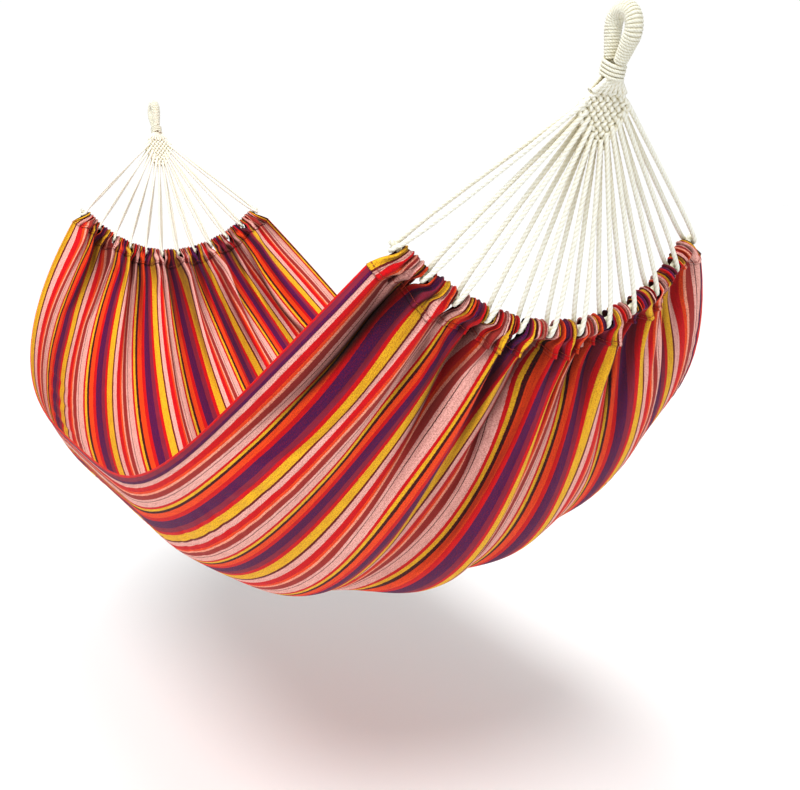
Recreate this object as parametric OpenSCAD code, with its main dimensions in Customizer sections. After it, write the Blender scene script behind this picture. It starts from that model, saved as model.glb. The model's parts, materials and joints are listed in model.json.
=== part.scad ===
// Single gathered-end hammock: a striped cotton bed hung from a fan of doubled ropes at each end.
// Millimetres, +Z up. The origin is the point where the near loop bears on its hook; the far loop
// hangs at -X. The bed runs along X and opens upwards; -Y is its front edge, +Y its back edge.

/* [Span] */
// Distance between the two hooks
hook_span = 1880; // [1700:10:2000]
// Lean of each rope fan from the vertical, in degrees
lean = 22; // [15:1:32]

/* [End loops] */
// Radius of the loop's rope bundle without its whipping
bundle_r = 6.5; // [6:0.5:8]
// Thickness of the cord wound round the loop
whipping_t = 3.5; // [3:0.5:4]
// Inside radius of the loop where the hook bears
loop_in_r = 8.5; // [8:0.5:12]
// Distance from the hook point to the top of the neck
neck_top = 46; // [44:1:60]
// Length of the whipped neck
neck_len = 17; // [14:1:24]
// Free angle of the swing to each side that the neck leaves room for
swing_limit = 35; // [20:1:35]

/* [Woven heart] */
// Widest half-width of the woven heart
heart_half_w = 33; // [32:1:40]
// Distance from the hook point to the bottom of the heart
heart_end = 142; // [140:1:150]
// Thickness of the woven heart
heart_t = 22; // [21:0.5:26]

/* [Ropes] */
// Diameter of one rope
rope_d = 6; // [4:0.5:6]
// Diameter of the header rope that runs through the hem
header_d = 7.6; // [6:0.2:8]

/* [Bed] */
// Half-width of the open bed at its middle
bed_half_w = 402; // [330:1:430]
// Depth of the bed's long edges below the hooks, at the middle
edge_drop = 596; // [550:1:650]
// Depth of the bed's lowest line below the hooks, at the middle
keel_drop = 821; // [770:1:880]
// Thickness of the bed's shell
bed_t = 4; // [3:0.5:6]
// Depth of the hem channel from the header rope to its stitch line
hem_depth = 35; // [25:1:45]
// Width of the folded hem on the long edges
side_hem_w = 18; // [12:1:25]

/* [Hidden] */
$fn = 48;
half_span = hook_span / 2;
gap = 0.4;

// Loop: an arc with two tangent legs that run down to the neck.
loop_r = loop_in_r + bundle_r + whipping_t;
loop_c = loop_in_r;
leg_x = 7.6;
leg_z = neck_top + 4;
leg_steps = 4;
arc_steps = 24;
loop_sides = 20;
thin_from = 16;
bundle_thin = 2.6;
leg_span = norm([leg_x, leg_z - loop_c]);
tangent_a = atan2(leg_x, leg_z - loop_c) + acos(loop_r / leg_span);
neck_r = 8;
neck_x = 4.5;
neck_end = neck_top + neck_len;

// Swing joint: a ball on the bundle's end, turning in a cup in the heart's top.
swing_c = neck_end + 4;
ball_r = 8;
shoulder_c = swing_c + heart_half_w * tan(swing_limit);

// Rope fan, in an end's own frame: x across the hammock, y inward and up, z up along the fan.
fan_c = 112;
fan_r = 239;
fan_r_edge = 18;
fan_y = -31;
fan_y_edge = 66;
fan_a = 51.8;
rope_count = 12;
foot_in_x = 3.8;
foot_out_x = heart_half_w - 4;
foot_in_z = heart_end - 11;
foot_rise = 40;
bight_r = 7.3;
header_r = header_d / 2;
header_stub = 9;

// Hem channel
channel_in_r = header_r + gap;
channel_r = channel_in_r + 2;
slit_half = rope_d / 2 + 1;
stitch_r = 0.6;
stitch_in = 3;

// Bed grid
edge_a = 82;
belly_power = 5;
sag_power = 3.4;
bed_nx = 36;
bed_ny = 24;
hem_skin_t = 1.5;

// ---- vectors and frames ----

function unit(v) = v / norm(v);

// Puts children into a frame given by its origin and three axes.
module place(o, ex, ey, ez) {
    multmatrix([
        [ex.x, ey.x, ez.x, o.x],
        [ex.y, ey.y, ez.y, o.y],
        [ex.z, ey.z, ez.z, o.z],
        [0, 0, 0, 1]
    ]) children();
}

module at_near() {
    rotate([0, lean, 0]) rotate([0, 0, 90]) children();
}

module at_far() {
    translate([-hook_span, 0, 0]) mirror([1, 0, 0]) at_near() children();
}

// ---- rope fan ----

fan_centre = [0, 0, -fan_c];

// Header point for s from -1 (front corner) to 1 (back corner).
function header_at(s) =
    let (r = fan_r + fan_r_edge * s * s)
    [r * sin(fan_a * s), fan_y + fan_y_edge * s * s, -fan_c - r * cos(fan_a * s)];

// Way the header rope runs at s.
function header_dir(s) = unit(header_at(s + 0.01) - header_at(s - 0.01));

function rope_s(i) = -1 + 2 * i / (rope_count - 1);

// Top end of a rope: on the heart's lower edge, from its tip (0) to its side corner (1).
function rope_foot(s) =
    let (w = (abs(s) * (rope_count - 1) - 1) / (rope_count - 2))
    [sign(s) * (foot_in_x + (foot_out_x - foot_in_x) * w), 0, -foot_in_z + foot_rise * w];

// ---- swept tubes ----

function tangent_at(path, i) =
    unit(path[min(i + 1, len(path) - 1)] - path[max(i - 1, 0)]);

// One ring of points round path point i.
function ring_at(path, i, r, sides) =
    let (t = tangent_at(path, i), ex = unit(cross([0, 1, 0], t)), ey = cross(t, ex))
    [for (j = [0 : sides - 1])
        path[i] + ex * r * cos(360 * j / sides) + ey * r * sin(360 * j / sides)];

// Side faces between the rings of one surface; first is its first point's number.
function tube_skin(rings, sides, first = 0) =
    [for (i = [0 : rings - 2]) for (j = [0 : sides - 1])
        let (k = (j + 1) % sides, a = first + i * sides, b = a + sides)
        each [[a + j, b + j, b + k], [a + j, b + k, a + k]]];

function flipped(faces) = [for (f = faces) [f[2], f[1], f[0]]];

// A solid rod along a path, with its own radius at each point.
module swept_rod(path, radii, sides) {
    rings = len(path);
    points = [for (i = [0 : rings - 1]) each ring_at(path, i, radii[i], sides)];
    start = [for (j = [0 : sides - 1]) j];
    end = [for (j = [sides - 1 : -1 : 0]) (rings - 1) * sides + j];
    polyhedron(points, concat(tube_skin(rings, sides), [start, end]));
}

// A sleeve round that rod, from radii + inside to radii + outside.
module swept_sleeve(path, radii, inside, outside, sides) {
    rings = len(path);
    layer = rings * sides;
    points = [for (off = [outside, inside]) for (i = [0 : rings - 1])
        each ring_at(path, i, radii[i] + off, sides)];
    skin = tube_skin(rings, sides);
    bore = flipped(tube_skin(rings, sides, layer));
    last = layer - sides;
    rims = [for (j = [0 : sides - 1]) let (k = (j + 1) % sides) each [
        [j, k, layer + k], [j, layer + k, layer + j],
        [last + k, last + j, last + layer + j], [last + k, last + layer + j, last + layer + k]]];
    polyhedron(points, concat(skin, bore, rims));
}

// ---- end loop ----
// The loop's plane runs lengthwise, square to the rope fan.

// Centre line of the loop: from low_z below the hook up one leg, round the top and down the other.
function loop_path(low_z) =
    let (top = [loop_r * sin(tangent_a), 0, -loop_c - loop_r * cos(tangent_a)],
         foot = top + (low_z + top.z) / (leg_z + top.z) * ([leg_x, 0, -leg_z] - top),
         leg = [for (i = [leg_steps : -1 : 1]) top + (foot - top) * i / leg_steps],
         arc = [for (i = [0 : arc_steps])
             let (a = tangent_a + (360 - 2 * tangent_a) * i / arc_steps)
             [loop_r * sin(a), 0, -loop_c - loop_r * cos(a)]])
    concat(leg, arc, [for (i = [leg_steps - 1 : -1 : 0]) [-leg[i].x, 0, leg[i].z]]);

// The bundle is full round the top and thins towards the neck.
function bundle_radii(path) =
    [for (p = path) bundle_r - max(0, -p.z - thin_from) / (neck_top - thin_from) * bundle_thin];

module loop_core() {
    path = loop_path(neck_top + 3);
    color("ivory") rotate([0, 0, 90]) {
        swept_rod(path, bundle_radii(path), loop_sides);
        translate([0, 0, -neck_end]) linear_extrude(neck_len) neck_outline(neck_r);
        translate([0, 0, -swing_c]) sphere(ball_r);
    }
}

module loop_whipping() {
    path = loop_path(neck_top - 3);
    color("cornsilk") rotate([0, 0, 90])
        swept_sleeve(path, bundle_radii(path), 0.1, whipping_t, loop_sides);
}

module neck_outline(r) {
    for (side = [-1, 1]) translate([side * neck_x, 0]) circle(r);
    square([2 * neck_x, 2 * r], center = true);
}

module neck_whipping() {
    color("cornsilk") rotate([0, 0, 90]) translate([0, 0, -neck_end]) linear_extrude(neck_len)
        difference() {
            neck_outline(neck_r + whipping_t);
            neck_outline(neck_r);
        }
}

// ---- woven heart ----

module heart() {
    tip_x = 7;
    color("ivory") difference() {
        intersection() {
            rotate([90, 0, 0]) linear_extrude(2 * heart_t, center = true) polygon([
                [0, -swing_c],
                [heart_half_w, -shoulder_c],
                [heart_half_w, -shoulder_c - 6],
                [tip_x, -heart_end],
                [-tip_x, -heart_end],
                [-heart_half_w, -shoulder_c - 6],
                [-heart_half_w, -shoulder_c]
            ]);
            rotate([90, 0, 90]) linear_extrude(3 * heart_half_w, center = true) polygon([
                [-heart_t * 0.36, -swing_c],
                [heart_t * 0.36, -swing_c],
                [heart_t / 2, -shoulder_c + 4],
                [heart_t / 2, -heart_end + 8],
                [heart_t * 0.36, -heart_end],
                [-heart_t * 0.36, -heart_end],
                [-heart_t / 2, -heart_end + 8],
                [-heart_t / 2, -shoulder_c + 4]
            ]);
        }
        translate([0, 0, -swing_c]) sphere(ball_r + gap);
    }
}

// ---- ropes ----

// One rope of a fan: doubled, with its bight square round the header rope at the lower end.
module clew_rope(i) {
    s = rope_s(i);
    low = header_at(s);
    up = rope_foot(s) - low;
    ez = unit(up);
    ex = unit(cross(header_dir(s), ez));
    ey = cross(ez, ex);
    color("floralwhite") place(low, ex, ey, ez) {
        for (side = [-1, 1])
            translate([side * bight_r, 0, 0]) cylinder(h = norm(up), d = rope_d);
        rotate([-90, 0, 0]) rotate_extrude(angle = 180) translate([bight_r, 0]) circle(d = rope_d);
    }
}

module header_rope() {
    first = header_at(-1);
    last = header_at(1);
    first_dir = unit(first - header_at(rope_s(1)));
    last_dir = unit(last - header_at(rope_s(rope_count - 2)));
    path = concat(
        [first + first_dir * header_stub],
        [for (i = [0 : rope_count - 1]) header_at(rope_s(i))],
        [last + last_dir * header_stub]
    );
    color("oldlace") swept_rod(path, [for (p = path) header_r], 12);
}

// ---- hem channel ----

// Children go into the frame of the k-th tab: x down the cloth, z along the header rope.
module at_tab(k) {
    a = header_at(rope_s(k));
    b = header_at(rope_s(k + 1));
    ez = unit(b - a);
    down = (a + b) / 2 - fan_centre;
    ex = unit(down - ez * (down * ez));
    place(a, ex, cross(ez, ex), ez) children();
}

function tab_len(k) = norm(header_at(rope_s(k + 1)) - header_at(rope_s(k)));

// Each tab is the hem's cloth folded over the header rope, between two slits.
module hem_channel() {
    color("firebrick") for (k = [0 : rope_count - 2]) at_tab(k)
        translate([0, 0, slit_half]) linear_extrude(tab_len(k) - 2 * slit_half) difference() {
            union() {
                circle(channel_r);
                translate([0, -bed_t / 2]) square([hem_depth + 1, bed_t]);
            }
            circle(channel_in_r);
        }
}

// The seam that closes the channel, one line of thread on each tab.
module hem_stitching() {
    color("gold") for (k = [0 : rope_count - 2]) at_tab(k)
        for (side = [-1, 1])
            translate([hem_depth - stitch_in, side * (bed_t / 2 + stitch_r + 0.02), slit_half + 1])
                cylinder(h = tab_len(k) - 2 * slit_half - 2, r = stitch_r);
}

// ---- bed ----

// The bed's near edge in the middle frame (x = 0 halfway between the hooks).
function bed_end(s) =
    let (h = header_at(s), e = h + unit(h - fan_centre) * hem_depth)
    [half_span - e.y * cos(lean) + e.z * sin(lean), e.x, e.y * sin(lean) + e.z * cos(lean)];

function bed_mid(s) =
    [0, bed_half_w * sin(edge_a * s) / sin(edge_a),
     -keel_drop + (keel_drop - edge_drop) * (1 - cos(edge_a * s)) / (1 - cos(edge_a))];

// Point of the bed's middle surface: t runs from -1 (far hem) to 1 (near hem), s from front to back.
function bed_at(t, s) =
    let (e = bed_end(s), m = bed_mid(s),
         sag = 1 - pow(abs(t), sag_power),
         belly = 1 - pow(abs(t), belly_power))
    [e.x * t, e.y + (m.y - e.y) * belly, e.z + (m.z - e.z) * sag];

// Unit normal of the bed, pointing out of the hollow.
function bed_out(t, s) =
    let (d = 0.004, along = bed_at(t + d, s) - bed_at(t - d, s), over = bed_at(t, s + d) - bed_at(t, s - d))
    unit(cross(over, along));

function bed_off(t, s, off) = bed_at(t, s) + bed_out(t, s) * off;

// Rows lie closer together towards the hems, where the bed is steep.
function row_t(u) = 1.35 * u - 0.35 * pow(u, 3);

// A closed strip of the bed between two values of s, from off0 to off1 along the normal.
module bed_strip(s0, s1, off0, off1, nx, ny, t1 = 1) {
    rows = nx + 1;
    cols = ny + 1;
    layer = rows * cols;
    points = [for (off = [off0, off1]) for (i = [0 : nx]) for (j = [0 : ny])
        bed_off(t1 * row_t(-1 + 2 * i / nx), s0 + (s1 - s0) * j / ny, off)];
    inner = [for (i = [0 : nx - 1]) for (j = [0 : ny - 1])
        let (p = i * cols + j) each [[p, p + 1, p + cols + 1], [p, p + cols + 1, p + cols]]];
    outer = [for (f = inner) [f[2] + layer, f[1] + layer, f[0] + layer]];
    ends = [for (j = [0 : ny - 1]) each let (p = j, q = nx * cols + j) [
        [p, p + layer, p + 1], [p + 1, p + layer, p + layer + 1],
        [q, q + 1, q + layer], [q + 1, q + layer + 1, q + layer]]];
    sides = [for (i = [0 : nx - 1]) each let (p = i * cols, q = i * cols + ny) [
        [p, p + cols, p + layer], [p + cols, p + cols + layer, p + layer],
        [q, q + layer, q + cols], [q + cols, q + layer, q + cols + layer]]];
    translate([-half_span, 0, 0]) polyhedron(points, concat(inner, outer, ends, sides));
}

module bed() {
    color("orangered") bed_strip(-1, 1, -bed_t / 2, bed_t / 2, bed_nx, bed_ny);
}

// The folded hem along one long edge, on the outside of the bed.
module side_hem(side) {
    span = side_hem_w / 500;
    low = bed_t / 2 + gap;
    color("gold") bed_strip(side > 0 ? 1 - span : -1, side > 0 ? 1 : -1 + span,
                            low, low + hem_skin_t, bed_nx, 2, 0.99);
}

at_near() loop_core();  // near_loop_core
at_near() loop_whipping();  // near_loop_whipping
at_near() neck_whipping();  // near_neck_whipping
at_near() heart();  // near_heart
for (i = [0 : rope_count - 1])
    at_near() clew_rope(i);
at_near() header_rope();  // near_header_rope
at_near() hem_channel();  // near_hem_channel
at_near() hem_stitching();  // near_hem_stitching
at_far() loop_core();  // far_loop_core
at_far() loop_whipping();  // far_loop_whipping
at_far() neck_whipping();  // far_neck_whipping
at_far() heart();  // far_heart
for (i = [0 : rope_count - 1])
    at_far() clew_rope(i);
at_far() header_rope();  // far_header_rope
at_far() hem_channel();  // far_hem_channel
at_far() hem_stitching();  // far_hem_stitching
bed();
side_hem(-1);  // front_side_hem
side_hem(1);  // back_side_hem
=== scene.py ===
"""Striped cotton hammock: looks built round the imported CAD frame. Metres, +Z up, near hook at the origin."""
import json
import math

import bpy
import numpy as np
from mathutils import Matrix, Vector


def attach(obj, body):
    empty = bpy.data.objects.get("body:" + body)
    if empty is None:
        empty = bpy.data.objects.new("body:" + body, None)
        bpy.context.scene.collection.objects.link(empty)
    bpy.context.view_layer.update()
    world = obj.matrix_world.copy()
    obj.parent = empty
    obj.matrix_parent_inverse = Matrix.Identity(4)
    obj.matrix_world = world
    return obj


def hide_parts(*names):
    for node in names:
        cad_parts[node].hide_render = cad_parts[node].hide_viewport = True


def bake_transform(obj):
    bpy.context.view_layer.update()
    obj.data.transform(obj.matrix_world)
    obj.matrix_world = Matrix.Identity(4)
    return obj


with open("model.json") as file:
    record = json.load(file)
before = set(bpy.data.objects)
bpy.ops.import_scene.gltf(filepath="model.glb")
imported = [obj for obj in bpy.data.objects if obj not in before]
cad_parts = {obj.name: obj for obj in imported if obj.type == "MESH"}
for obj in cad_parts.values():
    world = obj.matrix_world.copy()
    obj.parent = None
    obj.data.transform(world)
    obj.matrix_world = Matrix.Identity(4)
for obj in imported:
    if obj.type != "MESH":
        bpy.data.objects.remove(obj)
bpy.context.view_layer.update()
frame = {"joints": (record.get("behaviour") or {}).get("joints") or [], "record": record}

# ---------------------------------------------------------------- frame and driving dimensions
MOUNTS = {m["name"]: np.array(m["pos_m"]) for m in frame["record"]["mounts"]}
JOINTS = {j["name"]: j for j in frame["joints"]}
SPAN = float(np.linalg.norm(MOUNTS["near_loop"] - MOUNTS["far_loop"]))
HALF = SPAN / 2
SWING = np.array(JOINTS["near_swing"]["pos_m"])
SWING_C = float(np.linalg.norm(SWING))
LEAN = math.atan2(-SWING[0], -SWING[2])

# The fan of ropes: its centre below the hook, its radius and how both change towards the edges.
FAN_C = 0.112
FAN_R, FAN_R_EDGE = 0.239, 0.018
FAN_Y, FAN_Y_EDGE = -0.031, 0.066
FAN_A = math.radians(51.8)
ROPES = 12
TABS = ROPES - 1

# The clew ropes: where they leave the heart, the bight round the header rope, and the thicknesses.
FOOT_IN_X, FOOT_OUT_X = 0.0038, 0.0258
FOOT_IN_Z, FOOT_RISE = 0.131, 0.040
BIGHT_R = 0.0073
ROPE_D = 0.006
HEADER_D = 0.0076
HEADER_STUB = 0.009

# The hanging loop, its two legs, the bundle in it, the whipping cord and the neck.
LOOP_R = 0.0185
LOOP_C = 0.0085
LEG_X, LEG_Z = 0.0076, 0.050
NECK_TOP, NECK_END = 0.046, 0.063
BUNDLE_R, BUNDLE_THIN, THIN_FROM = 0.0065, 0.0026, 0.016
WHIP_D = 0.0040
NECK_X, NECK_R = 0.0045, 0.008

# The woven heart: half-width and lowest point.
HEART_W, HEART_END = 0.033, 0.142

# The bed: half-width, how far its edges and lowest line hang below the hooks, and the cloth.
HEM_DEPTH = 0.035
BED_HALF_W, EDGE_DROP, KEEL_DROP = 0.402, 0.596, 0.821
EDGE_A = math.radians(82)
BELLY_POWER, SAG_POWER = 5.0, 3.4
CLOTH_W = 1.0
SIDE_HEM_W = 0.018
CLOTH_T = 0.0009
REPEATS = 7.64

ENDS = ("near", "far")


# ---------------------------------------------------------------- small maths
def unit(v):
    v = np.asarray(v, float)
    return v / np.maximum(np.linalg.norm(v, axis=-1, keepdims=True), 1e-12)


def smooth(x):
    x = np.clip(x, 0.0, 1.0)
    return x * x * (3 - 2 * x)


def travelled(path):
    """Distance along a path at each of its points."""
    return np.r_[0, np.cumsum(np.linalg.norm(np.diff(path, axis=0), axis=1))]


def to_world(points, end):
    """Points of an end's own frame (x across, y inward and up, z up the fan) in the row frame."""
    p = np.asarray(points, float)
    x = -p[..., 1] * math.cos(LEAN) + p[..., 2] * math.sin(LEAN)
    z = p[..., 1] * math.sin(LEAN) + p[..., 2] * math.cos(LEAN)
    if end == "far":
        x = -SPAN - x
    return np.stack([x, p[..., 0], z], -1)


def header_at(s):
    """The header rope's line in an end's own frame."""
    s = np.asarray(s, float)
    r = FAN_R + FAN_R_EDGE * s * s
    a = FAN_A * s
    return np.stack([r * np.sin(a), FAN_Y + FAN_Y_EDGE * s * s, -FAN_C - r * np.cos(a)], -1)


def rope_s(i):
    """Where rope i meets the header rope, from -1 to 1."""
    return -1 + 2 * i / (ROPES - 1)


# ---------------------------------------------------------------- objects
def make_mesh(name, verts, faces, material, body, node=None, attributes=None, smooth_shade=True):
    mesh = bpy.data.meshes.new(name)
    mesh.from_pydata(np.asarray(verts, float).tolist(), [], faces)
    mesh.update()
    for key, values in (attributes or {}).items():
        values = np.asarray(values, np.float32)
        kind = "FLOAT_VECTOR" if values.ndim == 2 else "FLOAT"
        attribute = mesh.attributes.new(key, kind, "POINT")
        attribute.data.foreach_set("vector" if values.ndim == 2 else "value", values.ravel())
    if smooth_shade:
        mesh.polygons.foreach_set("use_smooth", np.ones(len(mesh.polygons), bool))
    mesh.materials.append(material)
    obj = bpy.data.objects.new(name, mesh)
    bpy.context.scene.collection.objects.link(obj)
    if body:
        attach(obj, body)
    if node:
        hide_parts(*([node] if isinstance(node, str) else node))
    return obj


def subdivide(obj):
    level = obj.modifiers.new("smooth", "SUBSURF")
    level.levels = level.render_levels = 1


def thicken(obj):
    thick = obj.modifiers.new("thickness", "SOLIDIFY")
    thick.thickness = CLOTH_T
    thick.offset = 0.0


def grid_faces(rows, cols, flip=False, wrap=False, base=0):
    """Quads over a grid of points; wrap joins the last column to the first."""
    i, j = np.meshgrid(np.arange(rows - 1), np.arange(cols if wrap else cols - 1), indexing="ij")
    a = base + i * cols + j
    b = base + i * cols + (j + 1) % cols
    quads = np.stack([a, b, b + cols, a + cols], -1).reshape(-1, 4)
    if flip:
        quads = quads[:, ::-1]
    return quads.tolist()


def path_frames(path, ref=None):
    """Tangent and two normals at each point, carried along the path without twisting."""
    t = unit(np.gradient(path, axis=0))
    start = np.array([0.0, 1.0, 0.0]) if ref is None else np.asarray(ref, float)
    n = np.zeros_like(path)
    n[0] = unit(start - t[0] * (start @ t[0]))
    for i in range(1, len(path)):
        v = n[i - 1] - t[i] * (n[i - 1] @ t[i])
        n[i] = v / max(np.linalg.norm(v), 1e-12)
    return t, n, np.cross(t, n)


def resample(path, step):
    path = np.asarray(path, float)
    d = travelled(path)
    count = max(3, int(round(d[-1] / step)) + 1)
    at = np.linspace(0, d[-1], count)
    return np.stack([np.interp(at, d, path[:, k]) for k in range(3)], -1)


def twisted_tube(path, radius, pitch, sides=18, groove=0.26, lobes=3, hand=1, phase=0.0, step=None,
                 ref=None, radii=None):
    """A laid rope: a tube whose lobes turn round the path. Gives points, faces, groove depth and lay."""
    given = len(path)
    path = resample(path, step or radius * 0.5)
    if radii is not None:
        radius = np.interp(np.linspace(0, 1, len(path)), np.linspace(0, 1, given), radii)[:, None]
    _, n, b = path_frames(path, ref)
    d = travelled(path)
    a = np.linspace(0, 2 * math.pi, sides, endpoint=False)
    turn = hand * 2 * math.pi * d[:, None] / pitch + phase
    lobe = np.abs(np.cos(0.5 * lobes * (a[None, :] - turn)))
    shape = np.power(lobe, 0.65)
    r = radius * (1 - groove + groove * shape)
    ring = n[:, None] * np.cos(a)[None, :, None] + b[:, None] * np.sin(a)[None, :, None]
    verts = (path[:, None] + ring * r[..., None]).reshape(-1, 3)
    faces = grid_faces(len(path), sides, wrap=True)
    faces.append(list(range(sides))[::-1])
    last = (len(path) - 1) * sides
    faces.append([last + k for k in range(sides)])
    depth = (1 - shape).ravel()
    lay = np.stack([np.repeat(d, sides), ((a[None, :] - turn) * radius).ravel(),
                    np.zeros(len(verts))], -1)
    return verts, faces, depth, lay


def merge(parts):
    """Several tubes as one set of points, faces, groove depths and lays."""
    verts, faces, depth, lay, base = [], [], [], [], 0
    for v, f, g, l in parts:
        verts.append(v)
        faces += [[k + base for k in face] for face in f]
        depth.append(g)
        lay.append(l)
        base += len(v)
    return np.concatenate(verts), faces, np.concatenate(depth), np.concatenate(lay)


def rope_object(name, parts, end, material, body=None, node=None):
    """One piece from several tubes given in an end's own frame."""
    verts, faces, depth, lay = merge(parts)
    if end == "far":
        faces = [f[::-1] for f in faces]
    return make_mesh(name, to_world(verts, end), faces, material, body, node,
                     {"groove": depth, "lay": lay})


# ---------------------------------------------------------------- materials
class Nodes:
    """A short way to build a material's nodes."""

    def __init__(self, name):
        self.material = bpy.data.materials.new(name)
        self.material.use_nodes = True
        self.tree = self.material.node_tree
        self.tree.nodes.clear()
        self.shader = self.add("ShaderNodeBsdfPrincipled")
        out = self.add("ShaderNodeOutputMaterial")
        self.link(self.shader.outputs[0], out.inputs[0])

    def add(self, kind, **values):
        node = self.tree.nodes.new(kind)
        for key, value in values.items():
            setattr(node, key, value)
        return node

    def link(self, a, b):
        self.tree.links.new(a, b)

    def attribute(self, name, output="Vector"):
        return self.add("ShaderNodeAttribute", attribute_name=name).outputs[output]

    def math(self, op, a, b=None, clamp=False):
        node = self.add("ShaderNodeMath", operation=op, use_clamp=clamp)
        for socket, value in zip(node.inputs, (a, b)):
            if value is None:
                continue
            if isinstance(value, (int, float)):
                socket.default_value = value
            else:
                self.link(value, socket)
        return node.outputs[0]

    def noise(self, vector, scale, detail=2.0, stretch=(1, 1, 1)):
        mapping = self.add("ShaderNodeMapping")
        mapping.inputs["Scale"].default_value = stretch
        self.link(vector, mapping.inputs["Vector"])
        noise = self.add("ShaderNodeTexNoise")
        noise.inputs["Scale"].default_value = scale
        noise.inputs["Detail"].default_value = detail
        self.link(mapping.outputs[0], noise.inputs["Vector"])
        return noise.outputs["Fac"]

    def mix(self, factor, a, b, blend="MIX"):
        node = self.add("ShaderNodeMix", data_type="RGBA", blend_type=blend)
        for socket, value in ((node.inputs[0], factor), (node.inputs[6], a), (node.inputs[7], b)):
            if isinstance(value, (int, float)):
                socket.default_value = value
            elif isinstance(value, tuple):
                socket.default_value = (*value, 1.0)
            else:
                self.link(value, socket)
        return node.outputs[2]

    def openness(self, distance, power):
        """1 where the surface lies open, towards 0 in the bottom of a fold or between strands; used to paint
        shade into a base colour.
        """
        node = self.add("ShaderNodeAmbientOcclusion", samples=6)
        node.inputs["Distance"].default_value = distance
        return self.math("POWER", node.outputs["AO"], power)

    def bump(self, height, distance, strength=1.0):
        node = self.add("ShaderNodeBump")
        node.inputs["Distance"].default_value = distance
        node.inputs["Strength"].default_value = strength
        self.link(height, node.inputs["Height"])
        self.link(node.outputs[0], self.shader.inputs["Normal"])

    def finish(self, roughness, sheen=0.0, sheen_roughness=0.5, specular=0.3):
        self.shader.inputs["Roughness"].default_value = roughness
        self.shader.inputs["Sheen Weight"].default_value = sheen
        self.shader.inputs["Sheen Roughness"].default_value = sheen_roughness
        self.shader.inputs["Specular IOR Level"].default_value = specular
        return self.material


def rgb(r, g, b):
    """A colour as the eye reads it (0 to 255) in linear light."""
    def line(c):
        c /= 255
        return c / 12.92 if c <= 0.04045 else ((c + 0.055) / 1.055) ** 2.4
    return (line(r), line(g), line(b))


YELLOW = rgb(244, 190, 34)
BROWN = rgb(98, 28, 24)
PALE = rgb(246, 186, 174)
RED = rgb(216, 8, 16)
ORANGE = rgb(248, 76, 16)
PEACH = rgb(255, 170, 140)
BRICK = rgb(162, 50, 42)
BLACK = rgb(24, 8, 10)
PURPLE = rgb(68, 15, 76)
MAUVE = rgb(136, 36, 62)

# One repeat of the stripes from the front edge: colour and relative width.
STRIPES = (
    (YELLOW, 50), (BROWN, 14), (PALE, 34), (RED, 36), (ORANGE, 16), (PEACH, 12), (BRICK, 36),
    (PALE, 16), (BLACK, 4), (PALE, 44), (RED, 18), (YELLOW, 20), (BLACK, 19), (ORANGE, 38),
    (RED, 28), (PURPLE, 56), (MAUVE, 34), (RED, 24),
)


def cloth_material(name):
    """Warp-striped cotton: stripes across the cloth, slubby yarns, a plain weave, red weft flecks and painted
    shade in the folds.
    """
    m = Nodes(name)
    cloth = m.attribute("cloth")
    split = m.add("ShaderNodeSeparateXYZ")
    m.link(cloth, split.inputs[0])
    across, along = split.outputs[0], split.outputs[1]
    saw = m.noise(cloth, 420, 0.0, (0.25, 1.0, 1.0))
    wobble = m.math("MULTIPLY", m.math("SUBTRACT", saw, 0.5), 0.0011)
    repeat = m.math("MULTIPLY", m.math("ADD", across, wobble), REPEATS / CLOTH_W)
    ramp = m.add("ShaderNodeValToRGB")
    ramp.color_ramp.interpolation = "CONSTANT"
    total = sum(w for _, w in STRIPES)
    stops, at = ramp.color_ramp.elements, 0.0
    for k, (colour, width) in enumerate(STRIPES):
        stop = stops[k] if k < 2 else stops.new(min(at / total, 0.9999))
        stop.position = at / total
        stop.color = (*colour, 1.0)
        at += width
    m.link(m.math("FRACT", repeat), ramp.inputs[0])
    slub = m.noise(cloth, 300, 2.0, (3.2, 0.12, 1.0))
    weft = m.noise(cloth, 420, 1.0, (1.0, 1.7, 1.0))
    warp_lines = m.math("SINE", m.math("MULTIPLY", across, 2 * math.pi / 0.0016))
    weft_lines = m.math("SINE", m.math("MULTIPLY", along, 2 * math.pi / 0.0018))
    weave = m.math("MULTIPLY", warp_lines, weft_lines)
    fleck = m.math("MULTIPLY", m.math("SUBTRACT", weft, 0.47), 7.0, clamp=True)
    woven = m.mix(m.math("MULTIPLY", fleck, 0.46), ramp.outputs[0], rgb(150, 14, 28))
    dark = m.math("MULTIPLY", m.math("SUBTRACT", 0.58, slub), 2.4, clamp=True)
    toned = m.mix(m.math("MULTIPLY", dark, 0.50), woven, rgb(150, 60, 60), "MULTIPLY")
    # Painted shade: ambient occlusion darkens the stripes towards a dark red in the bottoms of the folds,
    # where shade falls.
    folded = m.mix(m.openness(0.07, 2.2), m.mix(1.0, toned, rgb(88, 30, 38), "MULTIPLY"), toned)
    m.link(folded, m.shader.inputs["Base Color"])
    height = m.math("ADD", m.math("MULTIPLY", weave, 0.35), m.math("ADD", slub, weft))
    m.bump(height, 0.0007, 0.55)
    return m.finish(0.88, sheen=0.05, specular=0.15)


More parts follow.
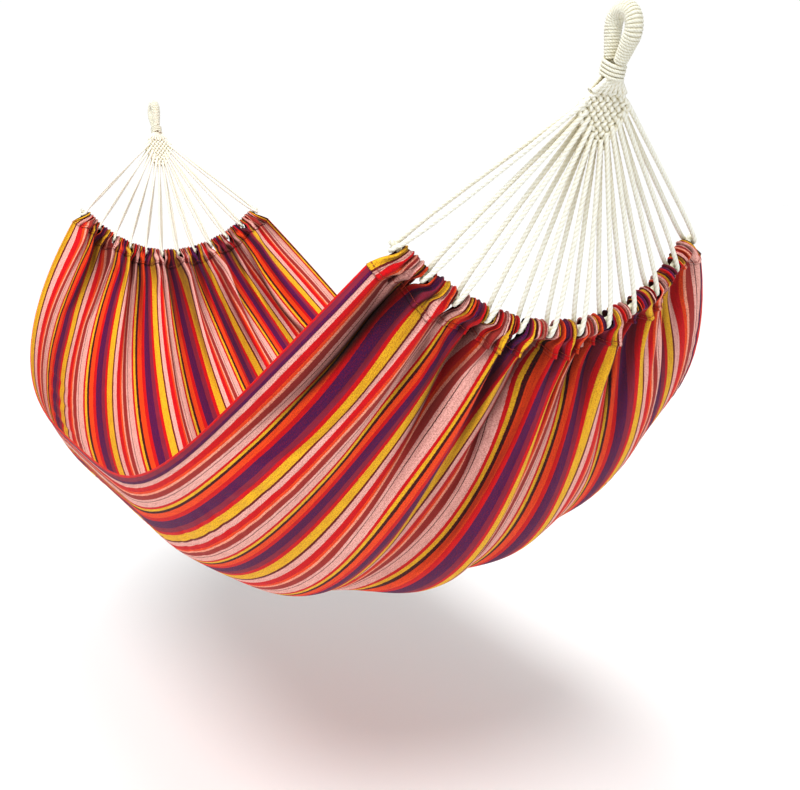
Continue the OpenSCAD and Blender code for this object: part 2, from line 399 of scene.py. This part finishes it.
def rope_material(name, light, tan, fibre=1.0):
    """Natural cotton: fine yarns laid along each strand, with shade painted tan into the grooves and between
    the strands.
    """
    m = Nodes(name)
    lay = m.attribute("lay")
    groove = m.attribute("groove", "Fac")
    yarn = m.noise(lay, 900, 2.0, (0.25, 1.6, 1.0))
    patch = m.noise(lay, 60, 2.0)
    # Painted shade: the deeper the groove between the lobes, the nearer the colour goes to tan; the random
    # patches mixed in are the cotton's own tone.
    deep = m.math("POWER", groove, 1.3)
    shade = m.math("ADD", m.math("MULTIPLY", deep, 0.75), m.math("MULTIPLY", patch, 0.22), clamp=True)
    base = m.mix(shade, light, tan)
    toned = m.mix(m.math("MULTIPLY", m.math("SUBTRACT", 0.62, yarn), 0.8, clamp=True), base, tan)
    # Painted shade: ambient occlusion darkens the cotton towards a warm beige where the strands and turns
    # crowd together.
    crevice_shade = m.mix(m.openness(0.016, 0.9), m.mix(1.0, toned, rgb(238, 226, 194), "MULTIPLY"), toned)
    m.link(crevice_shade, m.shader.inputs["Base Color"])
    m.bump(yarn, 0.0006 * fibre, 0.7)
    return m.finish(0.92, sheen=0.15, specular=0.12)


COTTON = rope_material("natural_cotton_rope", rgb(239, 241, 235), rgb(206, 200, 174))
WHIPPING = rope_material("natural_whipping_cord", rgb(232, 234, 225), rgb(190, 182, 150))
THREAD = rope_material("sewing_thread", rgb(170, 60, 40), rgb(110, 30, 24), 0.4)
CLOTH = cloth_material("striped_cotton")


# ---------------------------------------------------------------- camera, light and floor
WORLD_STRENGTH, ABOVE = 1.02, 0.55
SUN_POWER, SUN_SPREAD, SUN_FROM = 2.1, 20, (1.5, -1.1, 2.0)
FLOOR_Z, FLOOR_HALF, FLOOR_TONE = -1.25, 40.0, 0.93
CAMERA_AT = (1.111, -0.802, -0.166)
CAMERA_YAW, CAMERA_PITCH = math.radians(64.07), math.radians(9.78)
LENS_MM = 56.16


def make_camera():
    """The photograph's view. The yaw is counted from the row's sideways direction, +Y."""
    data = bpy.data.cameras.new("camera")
    data.sensor_width = 36.0
    data.lens = LENS_MM
    data.clip_end = 100
    camera = bpy.data.objects.new("camera", data)
    yaw, pitch = CAMERA_YAW, CAMERA_PITCH
    forward = Vector((-math.sin(yaw) * math.cos(pitch), math.cos(yaw) * math.cos(pitch), -math.sin(pitch)))
    right = Vector((math.cos(yaw), math.sin(yaw), 0))
    up = right.cross(forward)
    basis = Matrix((right, up, -forward)).transposed().to_4x4()
    camera.matrix_world = Matrix.Translation(CAMERA_AT) @ basis
    bpy.context.scene.collection.objects.link(camera)
    bpy.context.scene.camera = camera


def area_light(name, place, target, size, power, colour):
    data = bpy.data.lights.new(name, "AREA")
    data.shape = "SQUARE"
    data.size = size
    data.energy = power
    data.color = colour
    light = bpy.data.objects.new(name, data)
    light.location = place
    light.rotation_euler = (Vector(target) - Vector(place)).to_track_quat("-Z", "Y").to_euler()
    bpy.context.scene.collection.objects.link(light)


def make_world():
    """Even light, white from the sides and below and softer from above, so that the folds still shade."""
    world = bpy.data.worlds.new("studio")
    world.use_nodes = True
    tree = world.node_tree
    place = tree.nodes.new("ShaderNodeTexCoord")
    height = tree.nodes.new("ShaderNodeSeparateXYZ")
    ramp = tree.nodes.new("ShaderNodeValToRGB")
    ramp.color_ramp.elements[0].position = 0.32
    ramp.color_ramp.elements[0].color = (1, 1, 1, 1)
    ramp.color_ramp.elements[1].position = 0.60
    ramp.color_ramp.elements[1].color = (ABOVE, ABOVE, ABOVE, 1)
    tree.links.new(place.outputs["Generated"], height.inputs[0])
    tree.links.new(height.outputs[2], ramp.inputs[0])
    tree.links.new(ramp.outputs[0], tree.nodes["Background"].inputs[0])
    tree.nodes["Background"].inputs[1].default_value = WORLD_STRENGTH
    bpy.context.scene.world = world


def make_floor():
    material = Nodes("pale_floor")
    material.shader.inputs["Base Color"].default_value = (FLOOR_TONE, FLOOR_TONE, FLOOR_TONE, 1)
    paper = material.noise(material.add("ShaderNodeTexCoord").outputs["Object"], 30, 2.0)
    material.bump(paper, 0.0004, 0.2)
    material.finish(0.9, specular=0.1)
    corners = ((-1, -1), (1, -1), (1, 1), (-1, 1))
    verts = [(x * FLOOR_HALF, y * FLOOR_HALF, FLOOR_Z) for x, y in corners]
    floor = make_mesh("floor", verts, [[0, 1, 2, 3]], material.material, None)


def make_studio():
    scene = bpy.context.scene
    scene.view_settings.view_transform = "Standard"
    make_world()
    sun = bpy.data.lights.new("key", "SUN")
    sun.energy = SUN_POWER
    sun.angle = math.radians(SUN_SPREAD)
    key = bpy.data.objects.new("key", sun)
    key.rotation_euler = Vector(SUN_FROM).to_track_quat("Z", "Y").to_euler()
    scene.collection.objects.link(key)
    area_light("inside", (-0.3, -0.5, 1.5), (-1.5, 0.1, -0.5), 0.9, 22, (1, 0.97, 0.93))
    make_floor()


make_camera()


# ---------------------------------------------------------------- clew ropes
ROPE_PITCH = 0.019
STRANDS_AT_HEART = 0.62
STRAND_TURN = math.radians(40)


def clew_rope_path(i):
    """Down one strand, round the header rope and back up, in the end's own frame.

    The two strands close up towards the heart and turn a little about each other in between.
    """
    s = rope_s(i)
    low = header_at(s)
    w = (abs(s) * (ROPES - 1) - 1) / (ROPES - 2)
    foot_x = math.copysign(FOOT_IN_X + (FOOT_OUT_X - FOOT_IN_X) * w, s)
    top = np.array([foot_x, 0, -FOOT_IN_Z + FOOT_RISE * w])
    up = top - low
    length = np.linalg.norm(up)
    ez = up / length
    ex = unit(np.cross(header_at(s + 0.01) - header_at(s - 0.01), ez))
    rise = np.linspace(1, 0, 60)[:, None]
    width = BIGHT_R * (STRANDS_AT_HEART + (1 - STRANDS_AT_HEART) * smooth(1 - rise))
    turn = STRAND_TURN * np.sin(math.pi * rise ** 0.7) ** 0.8
    apart = (ex * np.cos(turn) + np.cross(ez, ex) * np.sin(turn)) * width
    down = low + ez * length * rise + apart
    back = (low + ez * length * rise - apart)[::-1]
    a = np.linspace(0, math.pi, 17)[1:-1, None]
    bight = low + ex * BIGHT_R * np.cos(a) - ez * BIGHT_R * np.sin(a)
    return np.concatenate([down, bight, back])


def make_clew_ropes(end):
    """Twelve taut ropes. Each is made as one laid rope from the heart and back to it."""
    for i in range(ROPES):
        path = clew_rope_path(i)
        name = f"{end}_clew_rope_{i + 1:02d}"
        hand = 1 if end == "near" else -1
        tube = twisted_tube(path, ROPE_D / 2, ROPE_PITCH, phase=1.7 * i, hand=hand)
        rope = rope_object(name + "_laid", [tube], end, COTTON, "hammock", name)


for end in ENDS:
    make_clew_ropes(end)


# ---------------------------------------------------------------- header ropes
HEADER_PITCH = 0.024


def make_header(end):
    """The rope inside the channel; a short stub shows past the last clew rope on each side."""
    s = np.linspace(-1, 1, 120)
    path = header_at(s)
    first = path[0] + unit(path[0] - path[1]) * HEADER_STUB
    last = path[-1] + unit(path[-1] - path[-2]) * HEADER_STUB
    path = np.concatenate([[first], path, [last]])
    tube = twisted_tube(path, HEADER_D / 2, HEADER_PITCH)
    rope = rope_object(f"{end}_header_rope_laid", [tube], end, COTTON, "hammock", f"{end}_header_rope")


for end in ENDS:
    make_header(end)


# ---------------------------------------------------------------- end loops
CORE_STRANDS = 6
CORE_STRAND_R, CORE_SPREAD, CORE_TWIST = 0.0028, 0.55, 3.0
NECK_TURNS = 4
YARN_PITCH = 0.014
CORD_PITCH = 0.008
SLEEVE_OVER = 0.0016
COIL_LAP = 0.84
CORD_OPTIONS = {"sides": 10, "groove": 0.24, "step": 0.0010}


def lengthwise(points):
    """A quarter turn about the fan's axis: the loop's plane is square to the rope fan."""
    return np.stack([-points[:, 1], points[:, 0], points[:, 2]], -1)


def loop_path(low):
    """The bundle's line: up one leg from this far below the hook, over the top and down the other."""
    span = math.hypot(LEG_X, LEG_Z - LOOP_C)
    tangent = math.atan2(LEG_X, LEG_Z - LOOP_C) + math.acos(LOOP_R / span)
    top = np.array([LOOP_R * math.sin(tangent), 0, -LOOP_C - LOOP_R * math.cos(tangent)])
    share = (low + top[2]) / (LEG_Z + top[2])
    foot = top + share * (np.array([LEG_X, 0, -LEG_Z]) - top)
    a = np.linspace(tangent, 2 * math.pi - tangent, 60)[:, None]
    arc = np.concatenate([LOOP_R * np.sin(a), 0 * a, -LOOP_C - LOOP_R * np.cos(a)], 1)
    mirror = np.array([-1, 1, 1])
    return resample(np.concatenate([[foot], arc, [foot * mirror]]), 0.001)


def bundle_radius(z):
    """The bundle thins towards the neck."""
    return BUNDLE_R - np.maximum(0, -z - THIN_FROM) / (NECK_TOP - THIN_FROM) * BUNDLE_THIN


def coil_round(path, radius, pitch, per_turn=36):
    """A helix round a path at the given radius from it."""
    _, n, b = path_frames(path, (0, 1, 0))
    d = travelled(path)
    turns = d[-1] / pitch
    at = np.linspace(0, d[-1], int(turns * per_turn))
    a = 2 * math.pi * at / pitch

    def along(values):
        return np.stack([np.interp(at, d, values[:, k]) for k in range(3)], -1)

    r = np.interp(at, d, radius)[:, None]
    return along(path) + unit(along(n)) * r * np.cos(a)[:, None] + unit(along(b)) * r * np.sin(a)[:, None]


def make_loop(end):
    """A laid bundle, and over it one cord wound turn by turn on a thin sleeve that shuts the gaps."""
    path = loop_path(NECK_TOP + 0.003)
    radii = bundle_radius(path[:, 2])
    _, n, b = path_frames(path, (0, 1, 0))
    strands = []
    for k in range(CORE_STRANDS):
        a = 2 * math.pi * k / CORE_STRANDS + np.linspace(0, CORE_TWIST, len(path))
        ring = n * np.cos(a)[:, None] + b * np.sin(a)[:, None]
        line = lengthwise(path + ring * (radii * CORE_SPREAD)[:, None])
        strands.append(twisted_tube(line, CORE_STRAND_R, YARN_PITCH, sides=12, ref=(1, 0, 0)))
    core = rope_object(f"{end}_loop_bundle", strands, end, COTTON, f"{end}_loop", f"{end}_loop_core")
    body = loop_path(NECK_TOP - 0.001)
    radii = bundle_radius(body[:, 2])
    under = twisted_tube(lengthwise(body), 0.0, 0.05, sides=40, groove=0.0, lobes=12, step=0.001,
                         ref=(1, 0, 0), radii=radii + SLEEVE_OVER)
    coil = lengthwise(coil_round(body, radii + WHIP_D / 2 - 0.0006, WHIP_D * COIL_LAP))
    cord = twisted_tube(coil, WHIP_D / 2 * 1.08, CORD_PITCH, **CORD_OPTIONS)
    whipping = rope_object(f"{end}_loop_cord", [under, cord], end, WHIPPING, f"{end}_loop",
                           f"{end}_loop_whipping")


def stadium(radius, per_turn=48):
    """One level turn round the neck's outline."""
    a = np.linspace(0, 2 * math.pi, per_turn, endpoint=False)
    shift = np.where(np.abs(np.cos(a)) > 1e-9, NECK_X * np.sign(np.cos(a)), 0)
    x = shift * np.minimum(1, np.abs(np.cos(a)) * 4)
    return np.stack([x + radius * np.cos(a), radius * np.sin(a), 0 * a], -1)


def make_neck(end):
    """The cord that binds the two legs; each turn drops to where the next one starts."""
    rows = []
    pitch = (NECK_END - NECK_TOP) / NECK_TURNS
    for k in range(NECK_TURNS):
        ring = stadium(NECK_R + WHIP_D / 2 - 0.0003)
        drop = np.linspace(0, pitch, len(ring), endpoint=False)
        ring[:, 2] = -NECK_TOP - pitch * (k + 0.02) - drop * 0.96
        rows.append(ring)
    path = lengthwise(np.concatenate(rows))
    cord = twisted_tube(path, WHIP_D / 2 * 1.06, CORD_PITCH, ref=(0, 0, 1), **CORD_OPTIONS)
    collar = rope_object(f"{end}_neck_cord", [cord], end, WHIPPING, f"{end}_loop", f"{end}_neck_whipping")


for end in ENDS:
    make_loop(end)
    make_neck(end)


# ---------------------------------------------------------------- woven hearts
# The top stays clear of the neck whipping when the heart swings to its limits.
HEART_TOP = SWING_C + 0.006
HEART_WIDE = SWING_C + 0.024
WEAVE_CELL, WEAVE_AMP, WEAVE_SLOPE, WEAVE_REACH = 0.0056, 0.0028, 0.80, 16
HEART_STRAND_R = 0.0029
NECK_STRANDS = 7


def heart_half_width(z):
    """Half-width of the heart's outline at height z (negative, down from the hook)."""
    depth = -np.asarray(z, float)
    return np.interp(depth, [HEART_TOP, HEART_WIDE, HEART_WIDE + 0.010, HEART_END],
                     [0.011, HEART_W - 0.003, HEART_W - 0.002, 0.010])


def make_heart(end):
    """Two families of strands cross on the slant, over and under, with a strand down each side."""
    centre = -(HEART_TOP + HEART_END) / 2
    parts = []
    for family in (1, -1):
        for k in range(-WEAVE_REACH, WEAVE_REACH + 1):
            u = np.linspace(-WEAVE_REACH, WEAVE_REACH, 1400)
            a, b = (u, np.full_like(u, k)) if family == 1 else (np.full_like(u, k), u)
            x = (a - b) * WEAVE_CELL * WEAVE_SLOPE
            z = centre + (a + b) * WEAVE_CELL
            y = family * WEAVE_AMP * np.cos(math.pi * (a + b))
            room = heart_half_width(z) - np.abs(x)
            inside = (room > 0) & (-z > HEART_TOP) & (-z < HEART_END)
            if inside.sum() < 40:
                continue
            edge = np.minimum(room, 0.006) / 0.006
            path = np.stack([x, y * smooth(edge + 0.15), z], -1)[inside]
            if np.linalg.norm(path[-1] - path[0]) < 0.008:
                continue
            parts.append(twisted_tube(path, HEART_STRAND_R, YARN_PITCH, sides=12, phase=0.9 * k))
    for side in (-1, 1):
        z = -np.linspace(HEART_TOP, HEART_END, 90)
        for layer in (-1, 1):
            x = side * (heart_half_width(z) - 0.0005)
            y = layer * 0.0032 * np.cos(np.linspace(0, 9 * math.pi, 90))
            path = np.stack([x, y, z], -1)
            parts.append(twisted_tube(path, HEART_STRAND_R, YARN_PITCH, sides=12, phase=layer))
    heart = rope_object(f"{end}_woven_heart", parts, end, COTTON, "hammock", f"{end}_heart")


def make_neck_strands(end):
    """Strands that leave the neck whipping and spread into the heart."""
    parts = []
    for row in (-1, 1):
        for k in range(NECK_STRANDS):
            f = -1 + 2 * k / (NECK_STRANDS - 1)
            start = np.array([0.0062 * f, row * 0.0078 * math.sqrt(1.05 - f * f * 0.6), -NECK_END + 0.003])
            knee = np.array([0.0125 * f, row * 0.0060, -SWING_C - 0.002])
            low = np.array([0.021 * f, row * 0.0030, -HEART_TOP - 0.007 + 0.002 * abs(f)])
            w = np.linspace(0, 1, 40)[:, None]
            path = (1 - w) ** 2 * start + 2 * w * (1 - w) * knee + w ** 2 * low
            parts.append(twisted_tube(path, 0.0031, YARN_PITCH, sides=12, phase=0.8 * k))
    piece = rope_object(f"{end}_neck_strands", parts, end, COTTON)
    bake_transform(piece)


for end in ENDS:
    make_heart(end)
    make_neck_strands(end)


# ---------------------------------------------------------------- the bed's surface
def bed_end(s):
    """The bed's near edge in the middle frame, where x = 0 lies halfway between the hooks."""
    h = header_at(s)
    e = h + unit(h - np.array([0, 0, -FAN_C])) * HEM_DEPTH
    return np.stack([HALF - e[..., 1] * math.cos(LEAN) + e[..., 2] * math.sin(LEAN), e[..., 0],
                     e[..., 1] * math.sin(LEAN) + e[..., 2] * math.cos(LEAN)], -1)


def bed_mid(s):
    """The bed's section halfway along."""
    lift = (1 - np.cos(EDGE_A * s)) / (1 - math.cos(EDGE_A))
    return np.stack([0 * s, BED_HALF_W * np.sin(EDGE_A * s) / math.sin(EDGE_A),
                     -KEEL_DROP + (KEEL_DROP - EDGE_DROP) * lift], -1)


def bed_at(t, s):
    """The smooth bed: t runs from the far hem (-1) to the near one (1), s from edge to edge."""
    t, s = np.broadcast_arrays(np.asarray(t, float), np.asarray(s, float))
    e, m = bed_end(s), bed_mid(s)
    sag, belly = 1 - np.abs(t) ** SAG_POWER, 1 - np.abs(t) ** BELLY_POWER
    return np.stack([e[..., 0] * t - HALF, e[..., 1] + (m[..., 1] - e[..., 1]) * belly,
                     e[..., 2] + (m[..., 2] - e[..., 2]) * sag], -1)


def bed_out(t, s):
    """The bed's outward normal."""
    d = 0.004
    return unit(np.cross(bed_at(t, s + d) - bed_at(t, s - d), bed_at(t + d, s) - bed_at(t - d, s)))


def row_length(points):
    """How much cloth a row takes up."""
    return np.linalg.norm(np.diff(points, axis=-2), axis=-1).sum(-1)


TAB_COLS = 12
COLS = TABS * TAB_COLS + 1
ROWS = 181
NEAR_SEED, FAR_SEED = 5, 12
GATHER = 0.985
FOLD_MIN, FOLD_AT_HEM, FOLD_MAX = 0.005, 0.015, 0.045
HEM_PULL = 0.28
SHUT_EDGE = 0.06
RELAX_FRAMES = 40
INSIDE_END = 0.995


def make_valleys(seed):
    """Each fold's start, drift, strength, reach down the bed and width, as the seed draws them."""
    rng = np.random.default_rng(seed)
    valleys = [(k + rng.normal(0, 0.05), rng.normal(0, 1.1), rng.uniform(0.7, 1.0),
                rng.uniform(0.22, 0.55), 0.15) for k in range(1, TABS)]
    valleys += [(k + 0.5 + rng.normal(0, 0.07), rng.normal(0, 1.0), rng.uniform(0.35, 0.6),
                 rng.uniform(0.05, 0.16), 0.09) for k in range(TABS)]
    return valleys


VALLEYS = {True: make_valleys(NEAR_SEED), False: make_valleys(FAR_SEED)}


def fold_wave(s, depth, near):
    """Lengthwise folds: valleys under the slits that wander and fade, and small puckers at the hem."""
    x = TABS * (s + 1) / 2
    wave = np.zeros_like(s)
    for at, drift, strength, reach, width in VALLEYS[near]:
        spread = width + 0.7 * depth
        wave -= strength * math.exp(-(depth / reach) ** 1.6) / (1 + ((x - at - drift * depth) / spread) ** 2)
    shift = 0.0 if near else 0.9
    fine = np.sin(2 * math.pi * (3 * x + 0.25 * np.sin(1.7 * x + shift)))
    broad = np.sin(2 * math.pi * (0.55 * x + 0.12 * np.sin(0.9 * x + shift)) + 1.1 + shift)
    return wave + 0.20 * fine * math.exp(-depth / 0.03) + 0.45 * broad * math.exp(-depth / 0.6)


def bed_grid():
    """The gathered cloth before it is relaxed: the folds of each row take up the cloth's width."""
    s = np.linspace(-1, 1, COLS)
    fine_t = np.linspace(-1, 1, 801)
    arc = travelled(bed_at(fine_t, 0.0))
    t = np.interp(np.linspace(0, arc[-1], ROWS), arc, fine_t)
    rows = []
    edge = smooth((1 - np.abs(s)) / SHUT_EDGE)
    for j, tj in enumerate(t):
        depth = min(j, ROWS - 1 - j) * arc[-1] / (ROWS - 1)
        base, out = bed_at(tj, s), bed_out(np.full_like(s, np.clip(tj, -INSIDE_END, INSIDE_END)), s)
        wave = (fold_wave(s, depth, tj > 0) * edge)[:, None]
        low, high = FOLD_MIN + FOLD_AT_HEM * math.exp(-(depth / HEM_PULL) ** 2), FOLD_MAX
        for _ in range(18):
            mid = (low + high) / 2
            if row_length(base + out * wave * mid) < CLOTH_W * GATHER:
                low = mid
            else:
                high = mid
        rows.append(base + out * wave * low)
    return s, np.array(rows), arc[-1]


def relax_cloth(verts, faces, rest, pinned):
    """Blender's cloth, pinned at both hems and long edges, from the gathered shape. Returns the points."""
    mesh = bpy.data.meshes.new("cloth_relax")
    mesh.from_pydata(verts.tolist(), [], faces)
    obj = bpy.data.objects.new("cloth_relax", mesh)
    bpy.context.scene.collection.objects.link(obj)
    obj.shape_key_add(name="Basis")
    key = obj.shape_key_add(name="flat")
    key.data.foreach_set("co", rest.astype(np.float32).ravel())
    group = obj.vertex_groups.new(name="pinned")
    group.add([int(k) for k in pinned], 1.0, "REPLACE")
    cloth = obj.modifiers.new("Cloth", "CLOTH")
    settings = cloth.settings
    settings.vertex_group_mass = "pinned"
    settings.rest_shape_key = key
    settings.quality = 6
    settings.mass = 0.25
    settings.tension_stiffness = 30
    settings.compression_stiffness = 12
    settings.shear_stiffness = 6
    settings.bending_stiffness = 0.6
    settings.tension_damping = 12
    settings.compression_damping = 12
    settings.shear_damping = 8
    settings.bending_damping = 0.8
    settings.air_damping = 2.5
    cloth.collision_settings.use_collision = False
    cloth.collision_settings.use_self_collision = False
    cloth.point_cache.frame_start = 1
    cloth.point_cache.frame_end = RELAX_FRAMES
    for f in range(1, RELAX_FRAMES + 1):
        bpy.context.scene.frame_set(f)
    shape = obj.evaluated_get(bpy.context.evaluated_depsgraph_get())
    result = np.zeros(len(verts) * 3, np.float32)
    shape.data.vertices.foreach_get("co", result)
    bpy.data.objects.remove(obj)
    bpy.context.scene.frame_set(1)
    return result.reshape(-1, 3).astype(float)


def make_bed():
    s, rows, length = bed_grid()
    lengths = np.linalg.norm(np.diff(rows, axis=0), axis=2).sum(0)
    across = (s + 1) / 2 * CLOTH_W
    share = np.linspace(0, 1, ROWS)
    rest = np.stack([np.broadcast_to(across, (ROWS, COLS)), share[:, None] * lengths[None, :],
                     np.zeros((ROWS, COLS))], -1)
    faces = grid_faces(ROWS, COLS)
    index = np.arange(ROWS * COLS).reshape(ROWS, COLS)
    pinned = np.unique(np.r_[index[0], index[-1], index[:, 0], index[:, -1]])
    verts = rows.reshape(-1, 3)
    verts = relax_cloth(verts, faces, rest.reshape(-1, 3), pinned)
    cloth = np.stack([np.broadcast_to(across, (ROWS, COLS)), share[:, None] * length * np.ones((1, COLS)),
                      np.zeros((ROWS, COLS))], -1).reshape(-1, 3)
    bed = make_mesh("bed_cloth", verts, faces, CLOTH, "hammock", "bed", {"cloth": cloth})
    subdivide(bed)
    thicken(bed)
    return bed, verts.reshape(ROWS, COLS, 3), length


bed, bed_grid_points, bed_length = make_bed()


# ---------------------------------------------------------------- hem channels
def hem_frame(s, near):
    """Header point, the way from it to the bed's edge and the outward way, in the row frame."""
    h = to_world(header_at(s), "near" if near else "far")
    edge = bed_at(1.0 if near else -1.0, s)
    out = bed_out(np.full_like(s, INSIDE_END if near else -INSIDE_END), s)
    return h, edge - h, out


TAB_POINTS, TAB_ROWS = 60, 34
RING_SHARE = 0.22
SLIT = 0.12
RING_R, RING_PUFF, RING_PUCKER = 0.0066, 0.0026, 0.0015
PLY_OVERRUN, PLY_GAP, PLY_PUCKER = 0.0030, 0.0011, 0.0016
SEAM_AT = 0.9
STITCH_PROUD = 0.0007
STITCH_R, STITCH_STEP, STITCH_STEPS, STITCH_GAP = 0.00045, 0.0008, 4, 2


def tab_pucker(x, d, k):
    """Small gathers, which slant in their own way on each tab."""
    slant = 0.22 * d[:, None] * np.sin(1.9 * x + k)
    return (np.sin(2 * math.pi * (4 * x + slant + 0.2 * np.sin(2.1 * x))) * 0.6
            + np.sin(2 * math.pi * (7 * x - 1.6 * slant) + k) * 0.4)


def tab_section(p, d, w, pucker):
    """Round the header rope and down both sides: depth below the rope, offset from the cloth, and blend.

    p runs from the inner cut edge (-1) over the rope (0) to the outer one (1), d is the share of the way
    down and w runs along the tab. The blend says how far the bed's own folds have taken over.
    """
    side = np.sign(p)[:, None]
    puff = 0.5 + 0.5 * np.sin(math.pi * w)[None, :]
    ring = RING_R + RING_PUFF * puff + RING_PUCKER * pucker
    on_ring = np.abs(p)[:, None] < RING_SHARE
    a = np.clip(np.pi * p / (2 * RING_SHARE), -math.pi / 2, math.pi / 2)[:, None]
    depth = np.where(on_ring, -ring * np.cos(a), d[:, None] * (HEM_DEPTH + PLY_OVERRUN))
    ply = side * (ring * (1 - smooth(d[:, None] * 1.15)) + PLY_GAP)
    off = np.where(on_ring, ring * np.sin(a), ply)
    carry = smooth(np.clip(depth / HEM_DEPTH, 0, 1) * 1.05)
    return depth, off + PLY_PUCKER * pucker * (1 - carry ** 3) * side, carry


def make_tab(k, near):
    """One tab's points, its cloth coordinates and the lines of its two seams."""
    row = bed_grid_points[-1 if near else 0]
    lo, hi = rope_s(k), rope_s(k + 1)
    span = hi - lo
    p = np.linspace(-1, 1, TAB_ROWS)
    d = np.interp(np.abs(p), [0, RING_SHARE, 1.0], [0, 0, 1.0])
    w = np.linspace(0, 1, TAB_POINTS)
    slit = SLIT * (1 - smooth(d))[:, None]
    s = lo + span * (slit + (1 - 2 * slit) * w[None, :])
    s_cloth = lo + span * np.broadcast_to(w, s.shape)
    h, down, out = (a.reshape(TAB_ROWS, TAB_POINTS, 3) for a in hem_frame(s.ravel(), near))
    pinned = np.stack([np.interp(s_cloth, np.linspace(-1, 1, COLS), row[:, c]) for c in range(3)], -1)
    pleat = ((pinned - (h + down)) * out).sum(-1)
    q = unit(down)
    true_out = unit(np.cross(np.gradient(pinned, axis=1), q))
    true_out = true_out * np.sign((true_out * out).sum(-1, keepdims=True))
    pucker = tab_pucker(TABS * (s_cloth + 1) / 2, d, k)
    depth, off, carry = tab_section(p, d, w, pucker)
    way = unit(out + (true_out - out) * carry[..., None])
    verts = h + q * depth[..., None] + out * (pleat * carry)[..., None] + way * off[..., None]
    cloth = np.stack([(s_cloth + 1) / 2 * CLOTH_W, np.broadcast_to(p[:, None] * HEM_DEPTH, s.shape),
                      np.zeros(s.shape)], -1)
    seam = int(np.argmin(np.abs(depth[:, 0] - HEM_DEPTH * SEAM_AT) + (p < 0) * 1))
    seams = [verts[i] + way[i] * sign * STITCH_PROUD
             for i, sign in ((seam, 1), (TAB_ROWS - 1 - seam, -1))]
    return verts.reshape(-1, 3), cloth.reshape(-1, 3), seams


def make_hem(end):
    """The channel: the bed's end folded round the header rope, sewn down and slit at every clew rope."""
    near = end == "near"
    verts, cloth, seams = zip(*[make_tab(k, near) for k in range(TABS)])
    faces = []
    for k in range(TABS):
        faces += grid_faces(TAB_ROWS, TAB_POINTS, base=k * TAB_ROWS * TAB_POINTS, flip=near)
    hem = make_mesh(f"{end}_hem_tabs", np.concatenate(verts), faces, CLOTH, "hammock",
                    f"{end}_hem_channel", {"cloth": np.concatenate(cloth)})
    thicken(hem)
    make_stitches(end, [line for pair in seams for line in pair])


def make_stitches(end, lines):
    """Short thread stitches with gaps between them, along each line."""
    parts = []
    for line in lines:
        fine = resample(line, STITCH_STEP)
        for k in range(0, len(fine) - STITCH_STEPS, STITCH_STEPS + STITCH_GAP):
            stitch = fine[k:k + STITCH_STEPS + 1]
            parts.append(twisted_tube(stitch, STITCH_R, 0.002, sides=6, groove=0.1, step=STITCH_STEP))
    verts, faces, depth, lay = merge(parts)
    seam = make_mesh(f"{end}_seam", verts, faces, THREAD, "hammock", f"{end}_hem_stitching",
                     {"groove": depth, "lay": lay})


for end in ENDS:
    make_hem(end)


# ---------------------------------------------------------------- side hems
HEM_TURN_IN = 0.0035


def make_side_hem(side):
    """The folded long edge: round the cut edge and down the outside, as (reach inwards, offset) pairs."""
    name = "front_side_hem" if side < 0 else "back_side_hem"
    grid = bed_grid_points if side < 0 else bed_grid_points[:, ::-1]
    spacing = CLOTH_W / (COLS - 1)
    inward = unit(grid[:, 2] - grid[:, 0])
    along = unit(np.gradient(grid[:, 0], axis=0))
    out = unit(np.cross(inward, along)) * (1 if side < 0 else -1)
    out = out * np.sign((out * bed_out(np.zeros(1), np.array([float(side)]))).sum(-1).mean())
    profile = [(HEM_TURN_IN, -0.0010), (0.0005, -0.0011), (-0.0008, 0.0002), (0.0005, 0.0016), (0.004, 0.0017),
               (0.009, 0.0015), (0.0135, 0.0015), (SIDE_HEM_W - 0.001, 0.0015), (SIDE_HEM_W, 0.0006)]
    rows = []
    for c, off in profile:
        col = max(c, 0) / spacing
        k = int(min(col, 3))
        base = grid[:, k] + (grid[:, k + 1] - grid[:, k]) * (col - k) + inward * min(c, 0)
        rows.append(base + out * off)
    verts = np.stack(rows, 1)
    n_along, n_prof = verts.shape[:2]
    reach = np.array([c for c, _ in profile])
    fold = np.cumsum(np.r_[0, np.hypot(np.diff(reach), np.diff([o for _, o in profile]))])
    across = HEM_TURN_IN - fold if side < 0 else CLOTH_W - HEM_TURN_IN + fold
    v_along = np.linspace(0, bed_length, n_along)
    cloth = np.stack([np.broadcast_to(across, (n_along, n_prof)),
                      np.broadcast_to(v_along[:, None], (n_along, n_prof)), np.zeros((n_along, n_prof))], -1)
    hem = make_mesh(name + "_fold", verts.reshape(-1, 3), grid_faces(n_along, n_prof, flip=side > 0), CLOTH,
                    "hammock", name, {"cloth": cloth.reshape(-1, 3)})
    subdivide(hem)


for side in (-1, 1):
    make_side_hem(side)

make_studio()
